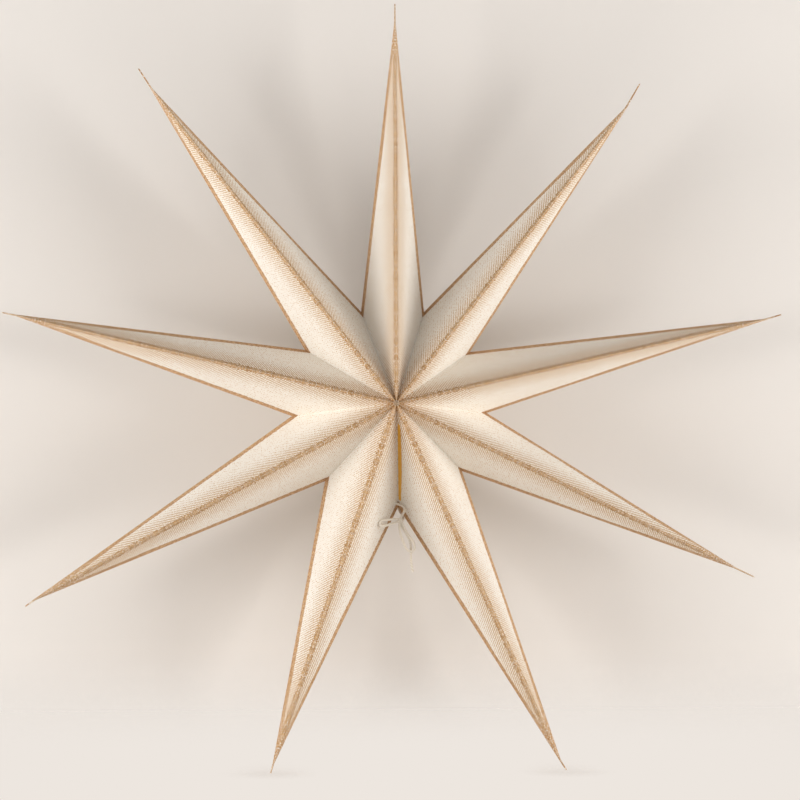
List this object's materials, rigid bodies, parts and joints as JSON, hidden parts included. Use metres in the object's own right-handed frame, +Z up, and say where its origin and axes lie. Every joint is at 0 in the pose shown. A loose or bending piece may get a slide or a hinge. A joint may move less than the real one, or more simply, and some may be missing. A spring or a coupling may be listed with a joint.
{
  "type": "folded paper star",
  "caption": "Hollow folded paper star of glued, sharply ridged points with a tan printed edge stripe, closed at one seam by a small string bow.",
  "frame": {"origin": "hub of the star, in its middle plane, where the inner ends of all the points meet", "axes": "+X to the star's right as the picture shows it, +Z up, and the front faces -Y"},
  "size_m": [0.5792, 0.1608, 0.5702],
  "materials": {
    "printed_paper": "matt cream paper with a tan print along its folds",
    "gummed_tape": "amber gummed closing tape",
    "cotton_string": "undyed twisted cotton string"
  },
  "bodies": {
    "root": {"point_top": "printed_paper", "point_upper_right": "printed_paper", "point_right": "printed_paper", "point_lower_right": "printed_paper", "point_bottom_right": "printed_paper", "point_bottom_left": "printed_paper", "point_lower_left": "printed_paper", "point_left": "printed_paper", "point_upper_left": "printed_paper", "closing_tape": "gummed_tape", "string_knot": "cotton_string", "string_left_tie": "cotton_string", "string_right_tie": "cotton_string", "string_long_loop": "cotton_string", "string_short_loop": "cotton_string", "string_tail": "cotton_string"}
  },
  "joints": []
}
